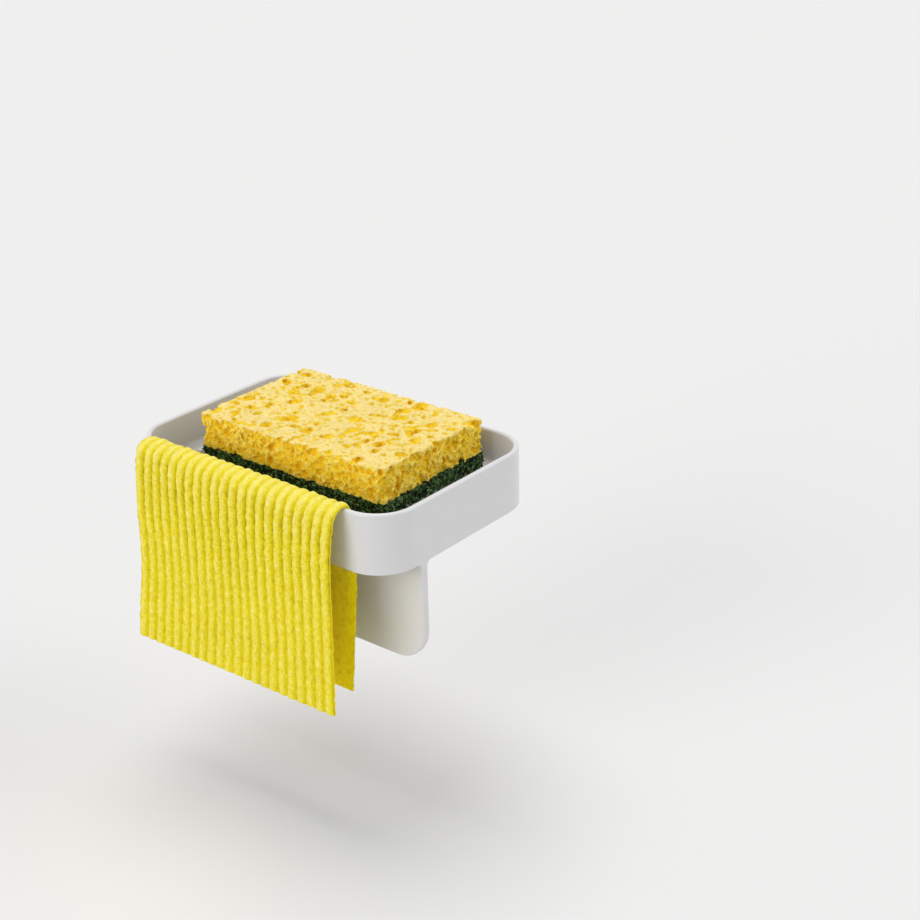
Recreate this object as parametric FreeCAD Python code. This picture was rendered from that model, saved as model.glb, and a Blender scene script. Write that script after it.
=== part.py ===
"""Sponge holder that stands on a worktop and hooks over its edge, with its sponge and its cloth."""
import FreeCAD, Part
import math
import os

Vector = FreeCAD.Vector

# The frame, in millimetres: X runs along the worktop's edge, +Y away from the sink and +Z up.
# The origin is on the worktop's top front corner, in the middle of the hook's back face.

# Wall band of the tray
tray_length = 155.0
tray_depth = 104.5
wall_height = 28.5
wall = 2.6
corner_radius = 19.5
rim_round = 1.2
lower_edge_chamfer = 0.6
front_overhang = 27.0

# Draining floor, which falls towards the sink
floor_rise = 13.2
floor_fall = 2.0
floor_wall = 2.4
floor_cove = 2.5
floor_lip_round = 2.0
floor_front_corner = 0.1
hollow_front_corner = 1.6

# Drain ribs on the floor
rib_count = 13
rib_pitch = 10.5
rib_width = 2.2
rib_stand = 0.8
rib_draft = 0.3
rib_end_gap = 6.0

# Hook plate in front of the worktop's edge
hook_drop = 49.8
hook_root = 4.2
hook_tip = 3.6
hook_corner_radius = 16.5
hook_fillet = 2.4
hook_overlap = 1.8

# Soft feet and the bosses that hold them
foot_stand = 1.6
foot_diameter = 10.0
foot_seat_depth = 1.2
foot_seat_clearance = 0.1
foot_chamfer = 0.5
boss_wall = 1.6
boss_inset = 15.0
boss_web = 1.6

# Sponge with its scouring layer
sponge_length = 109.5
sponge_thickness = 16.6
scourer_thickness = 7.0
sponge_corner = 1.5
sponge_edge_round = 0.8
sponge_turn = 0.3
sponge_shift = 1.2
sponge_setback = 0.2
sponge_back_gap = 8.4
rest_gap = 0.2

# Ribbed cloth laid over the front wall, a little to the left
cloth_width = 120.5
cloth_shift = -5.3
cloth_sheet = 1.2
cloth_rib_height = 0.9
cloth_rib_count = 22
cloth_rib_crest = 0.5
cloth_rim_gap = 0.3
fold_rear_start = 0.7
fold_rear_radius = 1.6
fold_front_reach = 2.3
fold_front_radius = 4.0
front_leaf = 91.8
front_slant = 4.1
rear_leaf_upper = 30.0
rear_leaf_lower = 55.0
rear_leaf_bend = 20.0
rear_slant_upper = 7.0
rear_slant_lower = 4.5

# Levels and faces that follow from these sizes
front_face = -front_overhang
back_face = front_face + tray_depth
band_bottom = foot_stand
rim_top = band_bottom + wall_height
floor_back = band_bottom + floor_rise
floor_front = floor_back - floor_fall
rib_top = floor_back + rib_stand
hook_bottom = band_bottom - hook_drop
hook_lean = math.atan((hook_root - hook_tip) / hook_drop)
inner_radius = corner_radius - wall
half_length = tray_length / 2
inner_half = half_length - wall
wall_middle = front_face + wall / 2
sponge_front = sponge_setback - hook_root
sponge_width = back_face - wall - sponge_back_gap - sponge_front
cloth_left = cloth_shift - cloth_width / 2
REACH = 10.0


def rounded_outline(half_width, y_front, y_back, front_radius, back_radius, z):
    """Closed outline, symmetric about X = 0, with one radius at each pair of corners."""
    c = math.sqrt(0.5)
    corners = (
        (half_width, y_front, front_radius, 1, -1),
        (half_width, y_back, back_radius, 1, 1),
        (-half_width, y_back, back_radius, -1, 1),
        (-half_width, y_front, front_radius, -1, -1),
    )
    arcs = []
    for x, y, r, side, end in corners:
        centre = Vector(x - side * r, y - end * r, z)
        on_side = centre + Vector(side * r, 0, 0)
        on_end = centre + Vector(0, end * r, 0)
        middle = centre + Vector(side * r * c, end * r * c, 0)
        first, last = (on_end, on_side) if side * end < 0 else (on_side, on_end)
        arcs.append((first, middle, last))
    edges = []
    for i, (first, middle, last) in enumerate(arcs):
        edges.append(Part.Arc(first, middle, last).toShape())
        edges.append(Part.LineSegment(last, arcs[(i + 1) % 4][0]).toShape())
    return Part.Wire(edges)


def prism(outline, height):
    return Part.Face(outline).extrude(Vector(0, 0, height))


def side_prism(points, x_start, x_end):
    """Solid from a closed run of (y, z) points, drawn out along X."""
    wire = Part.makePolygon([Vector(x_start, y, z) for y, z in points + points[:1]])
    return Part.Face(wire).extrude(Vector(x_end - x_start, 0, 0))


def floor_level(y):
    """Height of the sloping floor's upper face."""
    share = (y + hook_root) / (back_face - wall + hook_root)
    return floor_front + floor_fall * share


def edges_where(shape, test):
    """Edges whose every end point passes the test."""
    return [e for e in shape.Edges if all(test(v.Point) for v in e.Vertexes)]


def corner_fillet(y, z, y_way, z_way, radius, x_start, x_end, lean=0.0):
    """Concave fillet along X in the corner at (y, z), between a level face and one that leans away."""
    def place(out, along):
        return Vector(x_start, y + y_way * out, z + z_way * along)

    reach = radius * (1 - math.sin(lean)) / math.cos(lean)
    bisector = math.radians(45) + lean / 2
    on_level = place(reach, 0)
    on_leaning = place(reach - radius * math.cos(lean), radius * (1 - math.sin(lean)))
    middle = place(reach - radius * math.cos(bisector), radius * (1 - math.sin(bisector)))
    wire = Part.Wire([
        Part.LineSegment(place(0, 0), on_level).toShape(),
        Part.Arc(on_level, middle, on_leaning).toShape(),
        Part.LineSegment(on_leaning, place(0, 0)).toShape(),
    ])
    return Part.Face(wire).extrude(Vector(x_end - x_start, 0, 0))


def inner_outline(z):
    """Outline of the wall band's inside."""
    return rounded_outline(inner_half, front_face + wall, back_face - wall, inner_radius, inner_radius, z)


def wall_band():
    """Rounded wall with a soft rim."""
    outside = prism(
        rounded_outline(half_length, front_face, back_face, corner_radius, corner_radius, band_bottom),
        wall_height,
    )
    band = outside.cut(prism(inner_outline(band_bottom), wall_height))
    rim = edges_where(band, lambda p: abs(p.z - rim_top) < 0.01)
    return band.makeFillet(min(rim_round, 0.48 * wall), rim)


def upper_cavity():
    """Space above the floor, with a cove all round its lower edge."""
    body = prism(inner_outline(band_bottom), wall_height + REACH)
    y_low, y_high = front_face - REACH, back_face + REACH
    above = side_prism(
        [(y_low, floor_level(y_low)), (y_high, floor_level(y_high)),
         (y_high, rim_top + 2 * REACH), (y_low, rim_top + 2 * REACH)],
        -tray_length, tray_length,
    )
    body = body.common(above)
    return body.makeFillet(floor_cove, edges_where(body, lambda p: abs(p.z - floor_level(p.y)) < 0.01))


def lower_cavity():
    """Hollow under the floor, behind the hook."""
    outline = rounded_outline(inner_half, 0, back_face - wall,
                              hollow_front_corner, inner_radius, band_bottom - REACH)
    body = prism(outline, wall_height)
    y_low, y_high = -REACH, back_face + REACH
    below = side_prism(
        [(y_low, floor_level(y_low) - floor_wall), (y_high, floor_level(y_high) - floor_wall),
         (y_high, band_bottom - 2 * REACH), (y_low, band_bottom - 2 * REACH)],
        -tray_length, tray_length,
    )
    return body.common(below)


def draining_floor():
    """Floor between the walls, with the coves that run it into them and a rounded lip at the slot."""
    body = prism(
        rounded_outline(half_length - wall / 2, -hook_root, back_face - wall / 2,
                        floor_front_corner, corner_radius - wall / 2, band_bottom),
        floor_rise + floor_cove,
    )
    floor = body.cut(upper_cavity()).cut(lower_cavity())
    lip = corner_fillet(-hook_root, floor_front, 1, -1, floor_lip_round, -inner_half, inner_half)
    return floor.cut(lip)


def hook_plate():
    """Flat plate that tapers downwards, with rounded lower corners."""
    top = band_bottom + hook_overlap
    body = side_prism(
        [(0, top), (-hook_root, top), (-hook_root, band_bottom),
         (-hook_tip, hook_bottom), (0, hook_bottom)],
        -half_length, half_length,
    )
    corners = [e for e in edges_where(body, lambda p: p.z < hook_bottom + 0.01)
               if abs(e.Vertexes[0].X - e.Vertexes[1].X) < 0.01]
    return body.makeFillet(hook_corner_radius, corners)


def hook_webs():
    """Fillets that run the side walls into the hook, in front of it and behind it."""
    webs = []
    for side in (-1, 1):
        ends = sorted((side * inner_half, side * half_length))
        webs.append(corner_fillet(0, band_bottom, 1, -1, hook_fillet, *ends))
        webs.append(corner_fillet(-hook_root, band_bottom, -1, -1, hook_fillet, *ends, hook_lean))
    return webs


def outline_gap(u, v, half_u, half_v, radius):
    """Distance from (u, v) to a rounded rectangle about the origin, negative inside it."""
    out_u, out_v = abs(u) - half_u + radius, abs(v) - half_v + radius
    return math.hypot(max(out_u, 0), max(out_v, 0)) + min(max(out_u, out_v), 0) - radius


def lower_outer_edges(shell):
    """The band's lower outer edge and the edges of the hook that it runs into."""
    middle_y = (front_face + back_face) / 2

    def on_skin(p):
        band = outline_gap(p.x, p.y - middle_y, half_length, tray_depth / 2, corner_radius)
        hook = outline_gap(p.x, p.z, half_length, -hook_bottom, hook_corner_radius) if p.z < 0 else 1.0
        return min(abs(band), abs(hook)) < 0.01

    found = []
    for edge in shell.Edges:
        ends = [v.Point for v in edge.Vertexes]
        middle = edge.valueAt((edge.FirstParameter + edge.LastParameter) / 2)
        low = all(p.z < band_bottom + 0.01 for p in ends)
        runs_back = abs(edge.tangentAt(edge.FirstParameter).y) > 0.99
        across_hook = runs_back and middle.z < band_bottom - hook_fillet
        if low and not across_hook and all(on_skin(p) for p in ends + [middle]):
            found.append(edge)
    return found


def foot_places():
    """Name and (x, y) of each foot."""
    side = half_length - boss_inset
    places = {}
    for row, y in (("front", boss_inset), ("rear", back_face - boss_inset)):
        for name, x in (("left", -side), ("right", side)):
            places[f"foot_{row}_{name}"] = (x, y)
    return places


def foot_boss(x, y):
    """Hollow post under the floor with a web to the nearest side wall."""
    base = Vector(x, y, band_bottom)
    seat_radius = foot_diameter / 2 + foot_seat_clearance
    height = floor_level(y) - floor_wall / 2 - band_bottom
    post = Part.makeCylinder(seat_radius + boss_wall, height, base)
    side = math.copysign(half_length - wall / 2, x)
    web = Part.makeBox(abs(side - x), boss_web, height, Vector(min(x, side), y - boss_web / 2, band_bottom))
    seat = Part.makeCylinder(seat_radius, foot_seat_depth, base)
    return post.fuse(web).cut(seat)


def drain_rib(x):
    """Low rib with a level top and drafted sides, from near the lip to near the back wall."""
    y_start = -hook_root + rib_end_gap
    y_end = back_face - wall - rib_end_gap
    root = floor_front - floor_wall / 2

    def level(z, spread):
        half = rib_width / 2 + spread
        corners = [(x - half, y_start - spread), (x + half, y_start - spread),
                   (x + half, y_end + spread), (x - half, y_end + spread)]
        return Part.makePolygon([Vector(u, v, z) for u, v in corners + corners[:1]])

    return Part.makeLoft([level(root, rib_draft), level(rib_top, 0)], True, True)


def tray_shell():
    """The whole moulding: band, floor, hook, drain ribs and foot bosses."""
    ribs = [drain_rib((i - (rib_count - 1) / 2) * rib_pitch) for i in range(rib_count)]
    bosses = [foot_boss(x, y) for x, y in foot_places().values()]
    shell = wall_band().multiFuse([draining_floor(), hook_plate()] + hook_webs() + ribs + bosses)
    shell = shell.removeSplitter()
    return shell.makeChamfer(lower_edge_chamfer, lower_outer_edges(shell))


def soft_foot(x, y):
    """Round soft disc, seated in its boss and standing on the worktop."""
    disc = Part.makeCylinder(foot_diameter / 2, foot_stand + foot_seat_depth, Vector(x, y, 0))
    return disc.makeChamfer(foot_chamfer, edges_where(disc, lambda p: abs(p.z) < 0.01))


def turned_slab(bottom, thickness):
    """Rounded slab of the sponge's size, turned a little in the tray."""
    half_width = sponge_width / 2
    slab = prism(
        rounded_outline(sponge_length / 2, -half_width, half_width, sponge_corner, sponge_corner, 0),
        thickness,
    )
    slab.rotate(Vector(0, 0, 0), Vector(0, 0, 1), sponge_turn)
    slab.translate(Vector(sponge_shift, sponge_front + half_width, bottom))
    return slab


def scouring_pad():
    return turned_slab(rib_top + rest_gap, scourer_thickness)


def sponge_block():
    bottom = rib_top + rest_gap + scourer_thickness
    block = turned_slab(bottom, sponge_thickness)
    top = bottom + sponge_thickness
    return block.makeFillet(sponge_edge_round, edges_where(block, lambda p: abs(p.z - top) < 0.01))


class Walker:
    """Draws lines and tangent arcs in the plane X = x, offset outwards from the cloth's inner face."""

    def __init__(self, x, y, z, heading):
        self.x = x
        self.place = Vector(x, y, z)
        self.heading = heading
        self.edges = []

    def _way(self, angle):
        return Vector(0, math.cos(angle), math.sin(angle))

    def line(self, length):
        end = self.place + self._way(self.heading) * length
        self.edges.append(Part.LineSegment(self.place, end).toShape())
        self.place = end

    def arc(self, radius, turn):
        """Positive turns run anticlockwise as seen from +X."""
        side = math.copysign(1, turn)
        to_centre = self._way(self.heading + side * math.pi / 2)
        centre = self.place + to_centre * radius
        middle = centre - self._way(self.heading + turn / 2 + side * math.pi / 2) * radius
        end = centre - self._way(self.heading + turn + side * math.pi / 2) * radius
        self.edges.append(Part.Arc(self.place, middle, end).toShape())
        self.place = end
        self.heading += turn


def rim_recess(x):
    """How far the front wall's middle lies back at x: not at all, then round the corner."""
    radius = corner_radius - wall / 2
    past_corner = max(0.0, abs(x) - half_length + corner_radius)
    past_corner = min(past_corner, 0.95 * radius)
    return radius - math.sqrt(radius ** 2 - past_corner ** 2)


def cloth_face(x, offset):
    """The rear and front runs of one face of the cloth at x, offset outwards by so much."""
    top = rim_top + cloth_rim_gap + offset
    rear_y = wall_middle + fold_rear_start + rim_recess(x)
    front_y = wall_middle - fold_front_reach

    rear = Walker(x, rear_y, top, 0.0)
    rear.arc(fold_rear_radius + offset, -math.radians(90 - rear_slant_upper))
    rear.line(rear_leaf_upper)
    rear.arc(rear_leaf_bend + offset, -math.radians(rear_slant_upper + rear_slant_lower))
    rear.line(rear_leaf_lower)

    front = Walker(x, rear_y, top, math.pi)
    front.line(rear_y - front_y)
    front.arc(fold_front_radius + offset, math.radians(90 - front_slant))
    front.line(front_leaf)
    return rear, front


def cloth_section(x, thickness):
    """Closed outline of the cloth across its fold at x."""
    inner_rear, inner_front = cloth_face(x, 0.0)
    outer_rear, outer_front = cloth_face(x, thickness)
    rear_hem = Part.LineSegment(inner_rear.place, outer_rear.place).toShape()
    front_hem = Part.LineSegment(outer_front.place, inner_front.place).toShape()
    ring = inner_rear.edges[::-1] + inner_front.edges + [front_hem]
    ring += outer_front.edges[::-1] + outer_rear.edges + [rear_hem]
    return Part.Wire(Part.__sortEdges__(ring))


def dish_cloth():
    """Ribbed sheet folded over the front wall, as a ruled loft across its ribs."""
    pitch = cloth_width / cloth_rib_count
    crest = cloth_sheet + cloth_rib_height
    stations = []
    for i in range(cloth_rib_count):
        left = cloth_left + i * pitch
        flank = pitch * (1 - cloth_rib_crest) / 2
        stations += [(left, cloth_sheet), (left + flank, crest), (left + pitch - flank, crest)]
    stations.append((cloth_left + cloth_width, cloth_sheet))
    return Part.makeLoft([cloth_section(x, t) for x, t in stations], True, True).removeSplitter()


def build():
    """Every node's solid by name."""
    nodes = {"tray_shell": tray_shell()}
    for name, (x, y) in foot_places().items():
        nodes[name] = soft_foot(x, y)
    nodes["scouring_pad"] = scouring_pad()
    nodes["sponge_block"] = sponge_block()
    nodes["dish_cloth"] = dish_cloth()
    return nodes


os.makedirs("parts", exist_ok=True)
for node, shape in build().items():
    shape.exportStep(f"parts/{node}.step")
    box = shape.optimalBoundingBox()
    print(f"{node}: {len(shape.Solids)} solid, {len(shape.Faces)} faces, valid {shape.isValid()}, "
          f"{shape.Volume / 1000:.1f} cm3, x {box.XMin:.1f}..{box.XMax:.1f}, "
          f"y {box.YMin:.1f}..{box.YMax:.1f}, z {box.ZMin:.1f}..{box.ZMax:.1f}")
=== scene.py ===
"""Looks of the sponge holder: moulded tray on soft feet, cellulose sponge, scouring layer and ribbed cloth."""

import math

import bpy
import numpy as np
from mathutils import Matrix, Vector


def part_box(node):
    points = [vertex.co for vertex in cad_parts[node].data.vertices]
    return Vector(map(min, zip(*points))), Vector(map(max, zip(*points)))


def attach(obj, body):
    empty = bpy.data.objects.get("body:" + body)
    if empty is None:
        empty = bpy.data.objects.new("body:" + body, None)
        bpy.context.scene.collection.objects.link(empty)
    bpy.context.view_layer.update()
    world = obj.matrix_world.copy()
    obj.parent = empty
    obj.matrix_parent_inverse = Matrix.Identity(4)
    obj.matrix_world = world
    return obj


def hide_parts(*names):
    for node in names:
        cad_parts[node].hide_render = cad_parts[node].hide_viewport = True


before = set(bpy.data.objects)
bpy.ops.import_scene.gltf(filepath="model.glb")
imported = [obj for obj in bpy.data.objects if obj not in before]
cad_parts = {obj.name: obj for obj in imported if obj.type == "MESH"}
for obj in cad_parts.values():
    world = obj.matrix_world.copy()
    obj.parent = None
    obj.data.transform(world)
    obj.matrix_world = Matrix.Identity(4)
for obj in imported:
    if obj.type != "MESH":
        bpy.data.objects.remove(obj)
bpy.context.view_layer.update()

MM = 0.001
SEED = 41


# Noise and volume tools

def value_noise(points, cell, seed):
    """Smooth noise from -1 to 1 at an (n, 3) array of points, with one random value per cell corner."""
    size = 64
    table = np.random.RandomState(seed).uniform(-1, 1, (size, size, size))
    scaled = points / cell
    base = np.floor(scaled).astype(int)
    part = scaled - base
    part = part * part * (3 - 2 * part)
    total = np.zeros(len(points))
    for corner in range(8):
        step = np.array([corner & 1, corner >> 1 & 1, corner >> 2 & 1])
        index = (base + step) % size
        weight = np.prod(np.where(step, part, 1 - part), axis=1)
        total += weight * table[index[:, 0], index[:, 1], index[:, 2]]
    return total


def smooth_step(x, low, high):
    t = np.clip((x - low) / (high - low), 0, 1)
    return t * t * (3 - 2 * t)


def soft_max(a, b, blend):
    overlap = np.maximum(blend - np.abs(a - b), 0) / blend
    return np.maximum(a, b) + overlap * overlap * blend / 4


def rounded_box(points, half, radius):
    """Distance to a rounded box about the origin, negative inside."""
    out = np.abs(points) - half + radius
    return np.linalg.norm(np.maximum(out, 0), axis=-1) + np.minimum(out.max(axis=-1), 0) - radius


class Volume:
    """A field on a regular grid, negative inside the shape, in millimetres."""

    def __init__(self, half, margin, step):
        self.step = step
        self.low = -np.asarray(half, float) - margin
        count = np.ceil(-2 * self.low / step).astype(int) + 1
        axes = [self.low[i] + step * np.arange(count[i]) for i in range(3)]
        self.points = np.stack(np.meshgrid(*axes, indexing="ij"), axis=-1)
        self.field = np.zeros(count)

    def flat_points(self):
        return self.points.reshape(-1, 3)

    def noise(self, cell, seed):
        return value_noise(self.flat_points(), cell, seed).reshape(self.field.shape)

    def carve(self, centre, radii, turn, blend):
        """Takes out an ellipsoid whose axes are the columns of turn; blend rounds the new edge."""
        reach = max(radii) + 2 * self.step + blend
        first = np.maximum(np.floor((centre - reach - self.low) / self.step).astype(int), 0)
        last = np.ceil((centre + reach - self.low) / self.step).astype(int) + 1
        last = np.minimum(last, self.field.shape)
        if np.any(last <= first):
            return
        block = tuple(slice(a, b) for a, b in zip(first, last))
        away = (self.points[block] - centre) @ turn
        hole = (np.linalg.norm(away / radii, axis=-1) - 1) * min(radii)
        self.field[block] = soft_max(self.field[block], -hole, blend)

    def keep_one_piece(self):
        """Drops loose crumbs and fills closed bubbles."""
        inside = self.field < 0
        core = np.zeros_like(inside)
        core[tuple(n // 2 for n in inside.shape)] = True
        crumbs = inside & ~flood(core, inside)
        shore = np.zeros_like(inside)
        shore[0, :, :] = True
        bubbles = ~inside & ~flood(shore, ~inside)
        self.field[crumbs] = 0.5 * self.step
        self.field[bubbles] = -0.5 * self.step


def flood(start, allowed):
    """Every allowed cell that can be reached from start through faces."""
    reached = start & allowed
    while True:
        grown = reached.copy()
        for axis in range(3):
            ahead = [slice(None)] * 3
            behind = [slice(None)] * 3
            ahead[axis], behind[axis] = slice(1, None), slice(None, -1)
            grown[tuple(ahead)] |= reached[tuple(behind)]
            grown[tuple(behind)] |= reached[tuple(ahead)]
        grown &= allowed
        if (grown == reached).all():
            return reached
        reached = grown


def surface_net(volume):
    """Closed quad mesh of the volume's surface: (vertices, quads)."""
    field = volume.field
    inside = field < 0
    cells = np.array(field.shape) - 1
    total = np.zeros((*cells, 3))
    count = np.zeros(cells)
    corners = [np.array([c & 1, c >> 1 & 1, c >> 2 & 1]) for c in range(8)]

    def at(array, corner):
        return array[tuple(slice(o, o + n) for o, n in zip(corner, cells))]

    for a in range(8):
        for axis in range(3):
            if corners[a][axis]:
                continue
            far = corners[a].copy()
            far[axis] = 1
            crosses = at(inside, corners[a]) != at(inside, far)
            f0, f1 = at(field, corners[a])[crosses], at(field, far)[crosses]
            share = f0 / (f0 - f1)
            total[crosses] += corners[a] + share[:, None] * (far - corners[a])
            count += crosses
    used = count > 0
    index = np.full(cells, -1)
    index[used] = np.arange(used.sum())
    places = np.argwhere(used) + total[used] / count[used][:, None]
    vertices = volume.low + places * volume.step

    quads = []
    for axis in range(3):
        u, v = (axis + 1) % 3, (axis + 2) % 3
        near, far = [slice(None)] * 3, [slice(None)] * 3
        near[axis], far[axis] = slice(None, -1), slice(1, None)
        starts = np.argwhere(inside[tuple(near)] != inside[tuple(far)])
        ring = []
        for du, dv in ((-1, -1), (0, -1), (0, 0), (-1, 0)):
            spot = starts.copy()
            spot[:, u] += du
            spot[:, v] += dv
            ring.append(index[tuple(spot.T)])
        ring = np.stack(ring, axis=1)
        hollow = ~inside[tuple(starts.T)]
        ring[hollow] = ring[hollow, ::-1]
        quads.append(ring)
    return vertices, np.concatenate(quads)


UNDERSIDE_BAND = 0.3


def cap_underside(vertices, quads, half, margin):
    """Puts one flat face in place of the small ones on the slab's underside, away from its edges."""
    away = (np.abs(vertices[:, :2]) < half[:2] - margin).all(axis=1)
    below = away & (vertices[:, 2] < UNDERSIDE_BAND - half[2])
    covered = below[quads].all(axis=1)
    patch = quads[covered]
    edges = {(a, b) for quad in patch.tolist() for a, b in zip(quad, quad[1:] + quad[:1])}
    onward = {a: b for a, b in edges if (b, a) not in edges}
    loop = [next(iter(onward))]
    while onward[loop[-1]] != loop[0]:
        loop.append(onward[loop[-1]])
    faces = quads[~covered].tolist() + [loop]
    kept = np.unique(np.concatenate([quads[~covered].reshape(-1), loop]))
    renumbered = np.full(len(vertices), -1)
    renumbered[kept] = np.arange(len(kept))
    return vertices[kept], [renumbered[face].tolist() for face in faces]


# Object and material helpers

def new_piece(name, vertices_mm, faces, place=Matrix.Identity(4)):
    """Smooth mesh object from vertices in millimetres and lists of vertex numbers, put at its place."""
    mesh = bpy.data.meshes.new(name)
    mesh.from_pydata((np.asarray(vertices_mm) * MM).tolist(), [], faces)
    mesh.transform(place)
    mesh.update()
    mesh.polygons.foreach_set("use_smooth", [True] * len(mesh.polygons))
    piece = bpy.data.objects.new(name, mesh)
    bpy.context.scene.collection.objects.link(piece)
    return piece


def set_attribute(piece, name, values):
    attribute = piece.data.attributes.new(name, "FLOAT", "POINT")
    attribute.data.foreach_set("value", np.asarray(values, np.float32))


class Shader:
    """A material made of one Principled surface and the nodes that feed it."""

    def __init__(self, name, **sockets):
        self.material = bpy.data.materials.new(name)
        self.material.use_nodes = True
        self.tree = self.material.node_tree
        self.surface = self.tree.nodes["Principled BSDF"]
        for socket, value in sockets.items():
            self.surface.inputs[socket.replace("_", " ")].default_value = value
        self.place = self.node("ShaderNodeTexCoord").outputs["Object"]

    def node(self, kind, settings=(), **sockets):
        made = self.tree.nodes.new(kind)
        for key, value in dict(settings).items():
            setattr(made, key, value)
        for socket, value in sockets.items():
            self.feed(made.inputs[socket.replace("_", " ")], value)
        return made

    def feed(self, socket, value):
        if isinstance(value, bpy.types.NodeSocket):
            self.tree.links.new(value, socket)
        else:
            socket.default_value = value

    def noise(self, size_mm, detail=2.0, roughness=0.5, place=None):
        made = self.node("ShaderNodeTexNoise", Vector=place or self.place, Scale=1000 / size_mm,
                         Detail=detail, Roughness=roughness)
        return made.outputs["Fac"]

    def attribute(self, name):
        return self.node("ShaderNodeAttribute", {"attribute_name": name}).outputs["Fac"]

    def ramp(self, fac, *stops):
        """Colours or greys at places from 0 to 1."""
        made = self.node("ShaderNodeValToRGB", Fac=fac)
        elements = made.color_ramp.elements
        while len(elements) < len(stops):
            elements.new(0.5)
        for element, (place, colour) in zip(elements, stops):
            element.position = place
            element.color = (*colour, 1) if hasattr(colour, "__len__") else (colour, colour, colour, 1)
        return made.outputs["Color"]

    def mix(self, fac, first, second, blend="MIX"):
        made = self.node("ShaderNodeMix", {"data_type": "RGBA", "blend_type": blend})
        self.feed(made.inputs[0], fac)
        for socket, value in ((made.inputs[6], first), (made.inputs[7], second)):
            self.feed(socket, value if isinstance(value, bpy.types.NodeSocket) else (*value, 1))
        return made.outputs[2]

    def times(self, first, second):
        return self.mix(1.0, first, second, "MULTIPLY")

    def math(self, operation, first, second):
        made = self.node("ShaderNodeMath", {"operation": operation})
        self.feed(made.inputs[0], first)
        self.feed(made.inputs[1], second)
        return made.outputs[0]

    def bump(self, height, depth_mm, strength=1.0, under=None):
        made = self.node("ShaderNodeBump", Height=height, Distance=depth_mm * MM, Strength=strength)
        if under is not None:
            self.feed(made.inputs["Normal"], under)
        return made.outputs["Normal"]

    def finish(self, **sockets):
        for socket, value in sockets.items():
            self.feed(self.surface.inputs[socket.replace("_", " ")], value)
        return self.material


def dress(piece, material):
    piece.data.materials.clear()
    piece.data.materials.append(material)


# Materials

def tray_material():
    look = Shader("tray_satin_white", Specular_IOR_Level=0.5)
    mottle = look.noise(9.0, detail=3)
    colour = look.ramp(mottle, (0.3, (0.638, 0.638, 0.645)), (0.7, (0.655, 0.655, 0.661)))
    gloss = look.ramp(look.noise(3.0, detail=4), (0.3, 0.28), (0.7, 0.36))
    grain = look.bump(look.noise(0.45, detail=3), 0.008, 0.5)
    return look.finish(Base_Color=colour, Roughness=gloss, Normal=grain)


def foot_material():
    look = Shader("foot_soft_grey", Specular_IOR_Level=0.4, Transmission_Weight=0.15, IOR=1.42)
    haze = look.noise(1.4, detail=3)
    colour = look.ramp(haze, (0.3, (0.52, 0.52, 0.51)), (0.7, (0.60, 0.60, 0.59)))
    gloss = look.ramp(look.noise(0.9), (0.3, 0.5), (0.7, 0.62))
    grain = look.bump(look.noise(0.3, detail=3), 0.02, 0.6)
    return look.finish(Base_Color=colour, Roughness=gloss, Normal=grain)


def sponge_material():
    look = Shader("sponge_cellulose", Roughness=0.85, Specular_IOR_Level=0.15,
                  Sheen_Weight=0.06, Sheen_Roughness=0.5,
                  Subsurface_Weight=0.3, Subsurface_Radius=(1.0, 0.75, 0.2), Subsurface_Scale=1.4 * MM)
    pit = look.attribute("pit")
    side = look.attribute("side")
    # Colour by depth below the skin: the amber of the open cells, turning darker toward their bottoms as
    # painted shade.
    top = look.ramp(pit, (0.0, (0.88, 0.69, 0.235)), (0.07, (0.85, 0.64, 0.11)),
                    (0.22, (0.89, 0.645, 0.030)), (0.6, (0.93, 0.63, 0.018)), (1.0, (0.90, 0.57, 0.011)))
    flank = look.ramp(pit, (0.0, (1.0, 0.76, 0.110)), (0.25, (1.0, 0.69, 0.026)),
                      (1.0, (0.95, 0.57, 0.010)))
    # The top is paler than the sides as a painted highlight, and the sides are brightened against their own
    # shade as painted light.
    colour = look.mix(side, top, flank)
    pores = look.noise(1.1, detail=3, roughness=0.6)
    fleck = look.ramp(pores, (0.34, (0.94, 0.86, 0.50)), (0.49, (1.0, 1.0, 1.0)),
                      (0.66, (1.02, 1.03, 1.15)))
    colour = look.times(colour, fleck)
    drift = look.ramp(look.noise(14.0, detail=3), (0.3, 0.95), (0.7, 1.0))
    colour = look.times(colour, drift)
    speck = look.ramp(look.noise(0.8, detail=2), (0.36, (0.86, 0.74, 0.42)),
                      (0.5, (1.0, 1.0, 1.0)), (0.62, (1.05, 1.09, 1.4)))
    colour = look.mix(side, colour, look.times(colour, speck))
    dimples = look.bump(look.ramp(pores, (0.34, 0.0), (0.5, 1.0)), 0.35, 0.7)
    fibre = look.bump(look.noise(0.5, detail=4, roughness=0.7), 0.25, 0.6, under=dimples)
    return look.finish(Base_Color=colour, Normal=fibre)


def scourer_material():
    look = Shader("scourer_web", Roughness=0.6, Specular_IOR_Level=0.15)
    web = look.noise(0.9, detail=4, roughness=0.7)
    green = look.ramp(look.attribute("tone"), (0.0, (0.008, 0.020, 0.004)),
                      (0.35, (0.064, 0.155, 0.034)), (0.75, (0.26, 0.54, 0.17)), (1.0, (0.70, 0.95, 0.55)))
    dark = look.ramp(web, (0.43, 0.1), (0.54, 1.0))
    colour = look.times(green, dark)
    clump = look.ramp(look.noise(1.9, detail=1), (0.42, 0.10), (0.57, 1.0))
    colour = look.times(colour, clump)
    # Deep in the lumpy web the colour goes near black as painted shade.
    colour = look.mix(look.attribute("pit"), colour, (0.002, 0.006, 0.002))
    fibre = look.bump(web, 0.5, 0.9)
    return look.finish(Base_Color=colour, Normal=fibre)


FIBRE_DRAW = 0.28
# How sharply the fold's crests are singled out, and how strongly they are painted paler: a painted highlight
# on the fold.
FOLD_HIGHLIGHT_SHARPNESS = 3.0
FOLD_HIGHLIGHT_SHARE = 0.5


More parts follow.
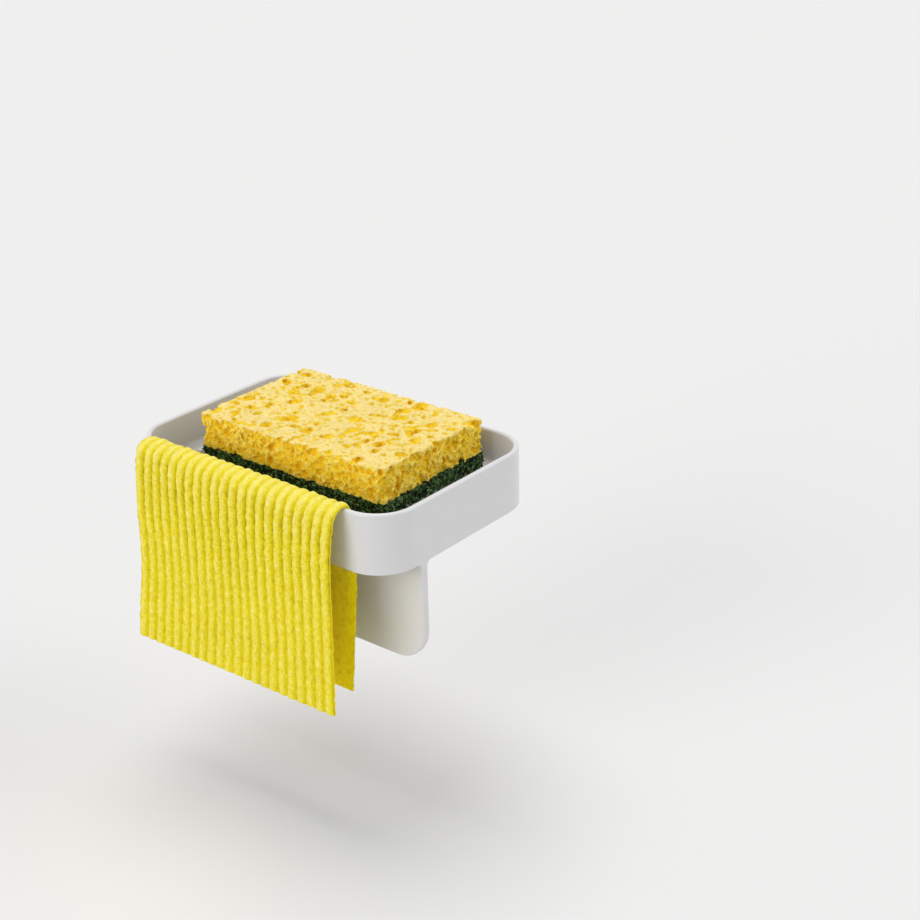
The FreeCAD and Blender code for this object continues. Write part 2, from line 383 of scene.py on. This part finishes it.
def cloth_material():
    look = Shader("cloth_ribbed_lemon", Roughness=0.9, Specular_IOR_Level=0.1,
                  Sheen_Weight=0.22, Sheen_Roughness=0.4, Sheen_Tint=(1.0, 0.95, 0.68, 1),
                  Subsurface_Weight=0.1, Subsurface_Radius=(1.0, 0.85, 0.1), Subsurface_Scale=1.0 * MM)
    crest = look.attribute("crest")
    grain = look.noise(1.1, detail=4, roughness=0.65)
    across = look.node("ShaderNodeSeparateXYZ", Vector=look.place).outputs["X"]
    # The run, in millimetres, is shrunk so that the noise is drawn out along the ribs.
    along = look.math("MULTIPLY", look.attribute("run"), FIBRE_DRAW * MM)
    drawn = look.node("ShaderNodeCombineXYZ", X=across, Y=along)
    streak = look.noise(0.75, detail=3, roughness=0.6, place=drawn.outputs["Vector"])
    # Tone by place on the rib: dark in the grooves as painted shade, pale on the crests as a painted
    # highlight.
    tone = look.ramp(crest, (0.0, (0.40, 0.31, 0.002)), (0.25, (0.73, 0.59, 0.004)),
                     (0.6, (0.86, 0.715, 0.016)), (1.0, (0.945, 0.835, 0.13)))
    dash = look.ramp(streak, (0.36, (0.90, 0.87, 0.40)), (0.5, (1.0, 1.0, 1.0)),
                     (0.64, (1.04, 1.07, 2.2)))
    colour = look.times(tone, dash)
    mottle = look.ramp(grain, (0.36, (0.90, 0.86, 0.6)), (0.5, (1.0, 1.0, 1.0)))
    colour = look.times(colour, mottle)
    drift = look.ramp(look.noise(18.0, detail=2), (0.3, 0.96), (0.7, 1.0))
    colour = look.times(colour, drift)
    # Painted highlight: the crests over the fold are mixed toward a pale yellow, standing in for the light on
    # the fold's top.
    crests = look.math("POWER", crest, FOLD_HIGHLIGHT_SHARPNESS)
    fold_highlight_mask = look.math("MULTIPLY", look.attribute("fold_highlight"), crests)
    colour = look.mix(look.math("MULTIPLY", fold_highlight_mask, FOLD_HIGHLIGHT_SHARE), colour, (0.92, 0.82, 0.30))
    # The inner face's own deeper yellow, with random brown blotches that are painted shade.
    inner_tone_and_shade = look.ramp(look.noise(2.8, detail=4, roughness=0.6), (0.40, (1.0, 0.86, 0.006)),
                       (0.52, (1.0, 0.81, 0.004)), (0.66, (0.87, 0.67, 0.003)))
    colour = look.mix(look.attribute("inner"), colour, inner_tone_and_shade)
    pile = look.bump(streak, 0.5, 0.9)
    felt = look.bump(grain, 0.55, 0.9, under=pile)
    return look.finish(Base_Color=colour, Normal=felt)


# Sponge

# Lengths here and below are in millimetres.
SPONGE_STEP = 0.55
SPONGE_SPARE = 2.4
SPONGE_ROUND = 1.3
SPONGE_TURN = math.radians(0.3)
TORN_DEPTH = 4.0
CORNER_REACH = 5.0
CORNER_CALM = 0.6
CAP_MARGIN = 5.0

# How far the broad, rough and fine noises move the top and the sides
TOP_ROUGHNESS = (0.14, 0.06, 0.06)
SIDE_ROUGHNESS = (0.30, 0.45, 0.75)
SIDE_INSET = 0.1


def slab_place(node, turn):
    """Where a node's own box is centred, and the half sizes of the slab that was turned to make that box."""
    low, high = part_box(node)
    centre = (low + high) / 2
    box_x, box_y = (high.x - low.x) / 2, (high.y - low.y) / 2
    c, s = math.cos(turn), math.sin(turn)
    half_x = (box_x * c - box_y * s) / (c * c - s * s)
    half_y = (box_y * c - box_x * s) / (c * c - s * s)
    half = np.array([half_x, half_y, (high.z - low.z) / 2]) / MM
    return Matrix.Translation(centre) @ Matrix.Rotation(turn, 4, "Z"), half


def random_turn(rng, tilt):
    """Axis matrix turned freely about Z and tipped by up to tilt."""
    about_z = Matrix.Rotation(rng.uniform(0, math.pi), 3, "Z")
    tipped = Matrix.Rotation(rng.uniform(-tilt, tilt), 3, "X")
    return np.array(about_z @ tipped)


TRIES_PER_SPOT = 30


def spread_spots(rng, count, half_u, half_v, gap):
    """Places on a rectangle, each at least so far from the ones before it."""
    spots = []
    for _ in range(count * TRIES_PER_SPOT):
        spot = rng.uniform(-1, 1, 2) * (half_u, half_v)
        if all(math.hypot(*(spot - other)) > gap for other in spots):
            spots.append(spot)
            if len(spots) == count:
                break
    return spots


# Bubbles opened by the cut through the top: count, least and greatest width, gap, depth share, margin
TOP_PORES = ((30, 4.0, 6.6, 8.0, 0.36, 3.0), (64, 2.8, 3.8, 4.4, 0.42, 0.0),
             (220, 1.8, 2.6, 2.4, 0.45, -0.4), (420, 1.2, 1.7, 1.5, 0.5, -0.4))
TOP_BLEND = 0.15

# Smaller cells that break through the floors of the wide bubbles
FLOOR_CELL_LEAST_WIDTH = 2.6
FLOOR_CELL_SPACING = 1.1
FLOOR_CELL_RADII = (0.5, 1.15)
FLOOR_BLEND = 0.1

# Cells torn open along the sides: radii, how often each comes, and the area that one cell takes
SIDE_RADII = (0.6, 0.85, 1.15, 1.6)
SIDE_SHARES = (0.40, 0.36, 0.20, 0.04)
SIDE_CELL_AREA = 1.7
SIDE_BLEND = 0.12


def carve_top(volume, rng, half):
    for count, small, large, gap, depth, margin in TOP_PORES:
        for u, v in spread_spots(rng, count, half[0] - margin, half[1] - margin, gap):
            width = rng.uniform(small, large)
            radii = np.array([width / 2 * rng.uniform(1.0, 1.7), width / 2, width * depth])
            sink = radii[2] * rng.uniform(-0.2, 0.3)
            turn = random_turn(rng, 0.25)
            centre = np.array([u, v, half[2] - sink])
            volume.carve(centre, radii, turn, TOP_BLEND)
            holes = int(width / FLOOR_CELL_SPACING) if width > FLOOR_CELL_LEAST_WIDTH else 0
            for _ in range(holes):
                way = rng.normal(size=3) * (1, 1, 0.3) - (0, 0, 0.9)
                spot = centre + turn @ (radii * way / np.linalg.norm(way))
                volume.carve(spot, rng.uniform(*FLOOR_CELL_RADII, 3), random_turn(rng, 1.2), FLOOR_BLEND)


def carve_sides(volume, rng, half):
    """Open cells torn along the four sides."""
    for axis, other in ((0, 1), (1, 0)):
        for side in (-1, 1):
            count = int(half[other] * 2 * half[2] * 2 / SIDE_CELL_AREA)
            for _ in range(count):
                radius = rng.choice(SIDE_RADII, p=SIDE_SHARES)
                centre = np.zeros(3)
                centre[axis] = side * (half[axis] - rng.uniform(-0.5, 0.9) * radius)
                centre[other] = rng.uniform(-half[other], half[other])
                centre[2] = rng.uniform(-half[2] - 0.8, half[2] - 1.2)
                radii = radius * rng.uniform(0.75, 1.25, 3)
                volume.carve(centre, radii, random_turn(rng, 1.2), SIDE_BLEND)


def build_sponge():
    rng = np.random.RandomState(SEED)
    place, half = slab_place("sponge_block", SPONGE_TURN)
    volume = Volume(half, SPONGE_SPARE, SPONGE_STEP)
    to_ends = half[:2] - np.abs(volume.points[..., :2])
    flank = 1 - smooth_step(to_ends.min(axis=-1), 0.5, TORN_DEPTH)
    broad, rough = volume.noise(9.0, SEED + 1), volume.noise(2.6, SEED + 2)
    fine = 0.6 * volume.noise(1.3, SEED + 3) + 0.6 * volume.noise(0.85, SEED + 4)
    from_top = half[2] - volume.points[..., 2]
    corner = np.prod(1 - smooth_step(to_ends, 0.0, CORNER_REACH), axis=-1)
    calm = 1 - CORNER_CALM * corner
    ragged = flank * (0.42 + 0.58 * smooth_step(from_top, 0.5, TORN_DEPTH)) * calm
    # Tufts hang down over the scouring layer along the lower edges.
    tuft = flank * (0.5 + np.maximum(rough + 0.6 * fine, -0.4) * 1.2 * calm)
    lowered = volume.points.copy()
    lowered[..., 2] += np.where(lowered[..., 2] < 0, tuft, 0)
    outer = rounded_box(lowered, half, SPONGE_ROUND)
    upper = smooth_step(volume.points[..., 2], -half[2], 0)
    noises = (broad, rough, fine)
    outer += upper * (1 - flank) * sum(reach * noise for reach, noise in zip(TOP_ROUGHNESS, noises))
    outer += ragged * (sum(reach * noise for reach, noise in zip(SIDE_ROUGHNESS, noises)) + SIDE_INSET)
    volume.field = outer
    carve_sides(volume, rng, half)
    carve_top(volume, rng, half)
    volume.keep_one_piece()
    vertices, faces = cap_underside(*surface_net(volume), half, CAP_MARGIN)

    skin = rounded_box(vertices, half, SPONGE_ROUND)
    at_side = (half[:2] - np.abs(vertices[:, :2])).min(axis=1)
    side = (1 - smooth_step(at_side, 0.6, 3.2)) * smooth_step(half[2] - vertices[:, 2], 0.3, 1.6)
    piece = new_piece("sponge", vertices, faces, place)
    # pit is the depth below the skin; the material paints the cells amber there, and darker with depth as
    # painted shade.
    set_attribute(piece, "pit", np.clip(-(skin + 0.25) / 2.0, 0, 1))
    set_attribute(piece, "side", side)
    dress(piece, sponge_material())
    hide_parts("sponge_block")
    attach(piece, "sponge")
    return piece


# Scouring layer

SCOURER_STEP = 0.8
SCOURER_SPARE = 2.0
SCOURER_ROUND = 0.8
SCOURER_TONE = 0.4
THREADS = 3600
THREAD_LENGTH = (0.8, 1.9)
THREAD_RADIUS = (0.15, 0.28)
THREAD_STEPS = 5
THREAD_SIDES = 3
THREAD_ROOT = 1.0
THREAD_REACH = 0.2


def fibre_tubes(rng, half, count):
    """Short bent threads along the sides of the scouring layer: (vertices, faces, a tone per vertex)."""
    vertices, quads, tones = [], [], []
    perimeter = np.array([half[0], half[1], half[0], half[1]]) * 2
    sides = rng.choice(4, count, p=perimeter / perimeter.sum())
    for side in sides:
        # Sides 0 and 2 face along Y, 1 and 3 along X.
        axis, other = (1, 0) if side in (0, 2) else (0, 1)
        sign = 1 if side < 2 else -1
        start = np.zeros(3)
        start[axis] = sign * (half[axis] + rng.uniform(-0.5, 0.15))
        start[other] = rng.uniform(-1, 1) * (half[other] - 0.8)
        start[2] = rng.uniform(-half[2] * 0.95, half[2] * 0.9)
        heading = rng.normal(size=3)
        heading[axis] *= 0.35
        heading /= np.linalg.norm(heading)
        bend = rng.normal(size=3) * 0.7
        bend[axis] *= 0.4
        length, radius = rng.uniform(*THREAD_LENGTH), rng.uniform(*THREAD_RADIUS)
        path = [start]
        for _ in range(THREAD_STEPS):
            heading = heading + bend * 0.5
            heading /= np.linalg.norm(heading)
            path.append(path[-1] + heading * length / THREAD_STEPS)
        path = np.array(path)
        path[:, 2] = np.clip(path[:, 2], -half[2] - 0.1, half[2])
        path[:, other] = np.clip(path[:, other], -half[other], half[other])
        outward = np.clip(sign * path[:, axis], half[axis] - THREAD_ROOT, half[axis] + THREAD_REACH)
        path[:, axis] = sign * outward
        first = len(vertices)
        tones += [rng.uniform()] * (THREAD_SIDES * len(path))
        along = np.gradient(path, axis=0)
        along /= np.maximum(np.linalg.norm(along, axis=1, keepdims=True), 1e-6)
        across = np.cross(along, rng.normal(size=3))
        across /= np.maximum(np.linalg.norm(across, axis=1, keepdims=True), 1e-6)
        third = np.cross(along, across)
        for spot, u, v in zip(path, across, third):
            for k in range(THREAD_SIDES):
                angle = k * 2 * math.pi / THREAD_SIDES
                vertices.append(spot + radius * (math.cos(angle) * u + math.sin(angle) * v))
        for ring in range(len(path) - 1):
            start_ring = first + ring * THREAD_SIDES
            for k in range(THREAD_SIDES):
                a, b = start_ring + k, start_ring + (k + 1) % THREAD_SIDES
                quads.append([a, b, b + THREAD_SIDES, a + THREAD_SIDES])
        last = first + (len(path) - 1) * THREAD_SIDES
        quads.append([first + 2, first + 1, first])
        quads.append([last, last + 1, last + 2])
    return np.array(vertices), quads, tones


def build_scourer():
    rng = np.random.RandomState(SEED + 10)
    place, half = slab_place("scouring_pad", SPONGE_TURN)
    volume = Volume(half, SCOURER_SPARE, SCOURER_STEP)
    outer = rounded_box(volume.points, half - (0.15, 0.15, 0.0), SCOURER_ROUND)
    to_side = (half[:2] - np.abs(volume.points[..., :2])).min(axis=-1)
    flank = 1 - smooth_step(to_side, 0.6, 3.0)
    lump, web = volume.noise(2.0, SEED + 11), volume.noise(1.0, SEED + 12)
    volume.field = outer + flank * (0.7 * lump + 0.7 * web) + (1 - flank) * 0.12 * web
    volume.keep_one_piece()
    vertices, quads = surface_net(volume)
    depth = -rounded_box(vertices, half, SCOURER_ROUND)
    threads, thread_faces, tones = fibre_tubes(rng, half, THREADS)
    faces = quads.tolist() + [[i + len(vertices) for i in face] for face in thread_faces]
    # pit is the depth below the skin, which the material paints near black as painted shade.
    pit = np.concatenate([np.clip((depth - 0.35) / 1.0, 0, 1), np.zeros(len(threads))])
    piece = new_piece("scourer", np.concatenate([vertices, threads]), faces, place)
    set_attribute(piece, "pit", pit)
    set_attribute(piece, "tone", np.concatenate([np.full(len(vertices), SCOURER_TONE), tones]))
    dress(piece, scourer_material())
    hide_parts("scouring_pad")
    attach(piece, "sponge")
    return piece


# Cloth

CLOTH_WIDTH = 120.5
CLOTH_LEFT = -65.55
CLOTH_RIBS = 22
RIB_SAMPLES = 8
CLOTH_ROWS = 440
SHEET = 0.95
RIB_HEIGHT = 1.15
REAR_SKEW = 3.0
BEAD_PITCH = 1.5
INNER_CREST = 0.62

# Sideways wander of the ribs and knots in them: how far, over what distance, seed and stretch of the noise
RIB_WANDER = ((0.5, 26, 20, (0.5, 1, 1)), (0.16, 7, 21, (1, 1, 1)),
              (0.22, 2.2, 26, (1, 1, 1)), (0.2, 1.2, 29, (1, 1, 1)))
RIB_KNOTS = ((0.2, 2.4, 22), (0.3, 1.2, 23))

# Shares of the cloth's length, from the rear hem to the front hem
REAR_LEAF = 0.46
FOLD = 0.49
FOLD_SPREAD = 0.035
# Where the fold's crests get the painted highlight, and how far it spreads.
FOLD_HIGHLIGHT_MIDDLE, FOLD_HIGHLIGHT_SPREAD = 0.5, 0.07
HANG_START, HANG_END = 0.62, 0.9
LOW_START, LOW_END = 0.55, 0.85

# The inner face's path across the fold, as (y, z) in millimetres from the rear hem to the front hem.
RIGHT_PATH = [(-23.8, -60.5), (-21.6, -34.0), (-20.1, -5.0), (-20.8, 13.0), (-22.4, 25.0), (-24.1, 29.5),
              (-25.8, 30.5), (-28.6, 30.4), (-31.2, 29.2), (-33.6, 25.4), (-35.2, 19.0), (-35.9, 12.0),
              (-36.6, 5.0), (-36.9, -10.0), (-37.2, -36.0), (-37.6, -48.0), (-37.9, -64.2)]
LEFT_PATH = [(-23.8, -60.5), (-21.4, -34.0), (-20.0, -5.0), (-20.5, 13.0), (-21.7, 25.0), (-23.0, 29.5),
             (-24.9, 30.5), (-28.0, 30.5), (-30.6, 29.6), (-32.8, 26.4), (-33.9, 18.4), (-34.2, 12.0),
             (-34.3, 5.0), (-34.8, -8.0), (-36.6, -31.0), (-38.4, -45.0), (-41.0, -63.4)]


PATH_STEPS = 24


def smooth_path(points, count):
    """Evenly spaced points along a Catmull-Rom curve through the given ones."""
    before = 2 * np.array(points[0]) - points[1]
    after = 2 * np.array(points[-1]) - points[-2]
    p = np.array([before, *points, after], float)
    t = np.linspace(0, 1, PATH_STEPS, endpoint=False)[:, None]
    runs = []
    for a, b, c, d in zip(p, p[1:], p[2:], p[3:]):
        runs.append(0.5 * (2 * b + (c - a) * t + (2 * a - 5 * b + 4 * c - d) * t ** 2
                           + (3 * b - a - 3 * c + d) * t ** 3))
    curve = np.concatenate([*runs, p[-2:-1]])
    travelled = np.concatenate([[0], np.cumsum(np.linalg.norm(np.diff(curve, axis=0), axis=1))])
    even = np.linspace(0, travelled[-1], count)
    return np.stack([np.interp(even, travelled, curve[:, i]) for i in range(2)], axis=1)


def build_cloth():
    columns = CLOTH_RIBS * RIB_SAMPLES + 1
    left, right = smooth_path(LEFT_PATH, CLOTH_ROWS), smooth_path(RIGHT_PATH, CLOTH_ROWS)
    length = np.linalg.norm(np.diff(right, axis=0), axis=1).sum()
    rib = np.arange(columns) / RIB_SAMPLES
    swell = (np.abs(np.sin(np.pi * rib)) ** 0.95)[:, None]
    share = rib / CLOTH_RIBS
    inner = left[None] + (right - left)[None] * share[:, None, None]

    run = np.linspace(0, length, CLOTH_ROWS)[None, :].repeat(columns, axis=0)
    rear = np.clip(1 - run / (REAR_LEAF * length), 0, 1)
    place_x = CLOTH_LEFT + share[:, None] * (CLOTH_WIDTH - REAR_SKEW * rear)
    across = share[:, None].repeat(CLOTH_ROWS, axis=1) * CLOTH_WIDTH
    spots = np.stack([across, np.zeros_like(run), run], axis=2)

    def field(cell, seed, stretch=(1, 1, 1)):
        return value_noise((spots * stretch).reshape(-1, 3), cell, seed).reshape(columns, CLOTH_ROWS)

    hang = smooth_step(run, HANG_START * length, HANG_END * length)
    inner = inner + np.stack([0.9 * hang * field(34, SEED + 19), np.zeros_like(run)], axis=2)
    along = np.gradient(inner, axis=1)
    along /= np.linalg.norm(along, axis=2, keepdims=True)
    outward = np.stack([along[..., 1], -along[..., 0]], axis=2)

    wander = sum(reach * field(cell, SEED + seed, stretch) for reach, cell, seed, stretch in RIB_WANDER)
    knots = sum(reach * field(cell, SEED + seed) for reach, cell, seed in RIB_KNOTS)
    number = np.floor(np.minimum(share, 0.999) * CLOTH_RIBS)[:, None]
    beat = run / BEAD_PITCH + 0.37 * number + 0.9 * field(9, SEED + 27)
    bead = (np.abs(np.sin(np.pi * beat)) - 0.64) * smooth_step(field(7, SEED + 28), -0.5, 0.5)
    low_down = smooth_step(run, LOW_START * length, LOW_END * length)
    deep = 1.15 - 0.42 * low_down
    stretched = np.exp(-((run - FOLD * length) / (FOLD_SPREAD * length)) ** 2)
    uneven = 1 + 0.2 * field(8, SEED + 24) + 0.28 * bead
    height = RIB_HEIGHT * swell * uneven * (1 - 0.75 * stretched) * deep
    height += knots * (0.4 + 0.6 * swell)
    outer = inner + outward * (SHEET + height)[..., None]

    def sheet_points(face, columns):
        axes = [(place_x + wander)[columns], face[columns, :, 0], face[columns, :, 1]]
        return np.stack(axes, axis=2).reshape(-1, 3)

    # The inner face is smooth, so it has one column of faces to each rib.
    every, seams = slice(None), slice(None, None, RIB_SAMPLES)
    vertices = np.concatenate([sheet_points(outer, every), sheet_points(inner, seams)])
    count = columns * CLOTH_ROWS
    front = np.arange(count).reshape(columns, CLOTH_ROWS)
    back = count + np.arange((CLOTH_RIBS + 1) * CLOTH_ROWS).reshape(-1, CLOTH_ROWS)

    def grid_quads(grid):
        corners = [grid[:-1, :-1], grid[1:, :-1], grid[1:, 1:], grid[:-1, 1:]]
        return np.stack(corners, axis=-1).reshape(-1, 4)

    faces = grid_quads(front).tolist() + grid_quads(back)[:, ::-1].tolist()
    for side, step in ((0, 1), (-1, -1)):
        edge = np.stack([front[side, :-1], front[side, 1:], back[side, 1:], back[side, :-1]], axis=-1)
        faces += edge[:, ::step].tolist()
    for row, step in ((0, -1), (-1, 1)):
        for k in range(CLOTH_RIBS):
            outside = front[k * RIB_SAMPLES:(k + 1) * RIB_SAMPLES + 1, row]
            hem = [*outside, back[k + 1, row], back[k, row]]
            faces.append([int(i) for i in hem[::step]])
    piece = new_piece("cloth", vertices, faces)
    # The crest value drives the painted groove shade and crest highlight; over the fold and low down it is
    # evened out toward a middle tone.
    crest = np.clip(swell * (0.9 + 0.35 * bead) + 0.5 * knots, 0, 1)
    crest = (crest + (0.8 - crest) * np.maximum(0.55 * stretched, 0.25 * low_down)).reshape(-1)
    set_attribute(piece, "crest", np.concatenate([crest, np.full(back.size, INNER_CREST)]))
    set_attribute(piece, "inner", np.repeat([0.0, 1.0], [count, back.size]))
    set_attribute(piece, "run", np.concatenate([run.reshape(-1), run[seams].reshape(-1)]))
    # Weight of the painted highlight on the fold's crests.
    fold_highlight = np.exp(-((run - FOLD_HIGHLIGHT_MIDDLE * length) / (FOLD_HIGHLIGHT_SPREAD * length)) ** 2)
    set_attribute(piece, "fold_highlight", np.concatenate([fold_highlight.reshape(-1), fold_highlight[seams].reshape(-1)]))
    dress(piece, cloth_material())
    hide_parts("dish_cloth")
    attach(piece, "cloth")
    return piece


# Stage, light and camera

CAMERA_PLACE = Vector((0.5107, -0.5084, 0.3495))
CAMERA_AZIMUTH = math.radians(39.19)
CAMERA_ELEVATION = math.radians(24.27)
CAMERA_ROLL = math.radians(-1.23)
CAMERA_LENS = 69.255
SENSOR = 36.0
FLOOR_LEVEL = -0.125
FLOOR_HALF = 25.0
LAMP_COLOUR = (1.0, 0.99, 0.97)


def add_camera():
    az, el = CAMERA_AZIMUTH, CAMERA_ELEVATION
    back = Vector((math.sin(az) * math.cos(el), -math.cos(az) * math.cos(el), math.sin(el)))
    right = Vector((math.cos(az), math.sin(az), 0))
    up = back.cross(right)
    c, s = math.cos(CAMERA_ROLL), math.sin(CAMERA_ROLL)
    axes = Matrix((right * c + up * s, up * c - right * s, back)).transposed()
    lens = bpy.data.cameras.new("camera")
    lens.sensor_width = SENSOR
    lens.lens = CAMERA_LENS
    camera = bpy.data.objects.new("camera", lens)
    camera.matrix_world = Matrix.Translation(CAMERA_PLACE) @ axes.to_4x4()
    bpy.context.scene.collection.objects.link(camera)
    bpy.context.scene.camera = camera


def add_floor():
    half = FLOOR_HALF
    mesh = bpy.data.meshes.new("floor")
    corners = [(-half, -half), (half, -half), (half, half), (-half, half)]
    mesh.from_pydata([(x, y, FLOOR_LEVEL) for x, y in corners], [], [(0, 1, 2, 3)])
    floor = bpy.data.objects.new("floor", mesh)
    bpy.context.scene.collection.objects.link(floor)
    look = Shader("floor_pale", Roughness=1.0, Specular_IOR_Level=0.0)
    dress(floor, look.finish(Base_Color=(0.735, 0.732, 0.728, 1)))


def add_sun(name, azimuth, elevation, strength, spread):
    """Soft light from far away; azimuth in degrees from +X toward +Y, spread the degrees its disc covers."""
    lamp = bpy.data.lights.new(name, "SUN")
    lamp.energy = strength
    lamp.color = LAMP_COLOUR
    lamp.angle = math.radians(spread)
    az, el = math.radians(azimuth), math.radians(elevation)
    toward = Vector((math.cos(az) * math.cos(el), math.sin(az) * math.cos(el), math.sin(el)))
    holder = bpy.data.objects.new(name, lamp)
    holder.matrix_world = (-toward).to_track_quat("-Z", "Y").to_matrix().to_4x4()
    bpy.context.scene.collection.objects.link(holder)


def add_world(ambient, backdrop):
    """Light of one colour from all around, and another colour where the surroundings are seen or mirrored."""
    world = bpy.data.worlds.new("studio")
    bpy.context.scene.world = world
    world.use_nodes = True
    tree = world.node_tree
    path = tree.nodes.new("ShaderNodeLightPath")
    seen = path.outputs["Is Camera Ray"]
    for ray in ("Is Glossy Ray", "Is Transmission Ray"):
        either = tree.nodes.new("ShaderNodeMath")
        either.operation = "MAXIMUM"
        tree.links.new(seen, either.inputs[0])
        tree.links.new(path.outputs[ray], either.inputs[1])
        seen = either.outputs[0]
    level = tree.nodes.new("ShaderNodeMix")
    level.data_type = "RGBA"
    level.inputs[6].default_value = (*ambient, 1)
    level.inputs[7].default_value = (*backdrop, 1)
    tree.links.new(seen, level.inputs[0])
    tree.links.new(level.outputs[2], tree.nodes["Background"].inputs["Color"])


build_cloth()
build_sponge()
build_scourer()
dress(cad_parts["tray_shell"], tray_material())
rubber = foot_material()
for end in ("front", "rear"):
    for side in ("left", "right"):
        dress(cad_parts[f"foot_{end}_{side}"], rubber)

add_camera()
add_floor()
add_world(ambient=(0.505, 0.51, 0.525), backdrop=(0.87, 0.87, 0.87))
add_sun("key", azimuth=140, elevation=70, strength=1.34, spread=40)
add_sun("front", azimuth=-101, elevation=17, strength=1.38, spread=40)
add_sun("rear", azimuth=40, elevation=30, strength=0.95, spread=40)
bpy.context.scene.view_settings.view_transform = "Standard"
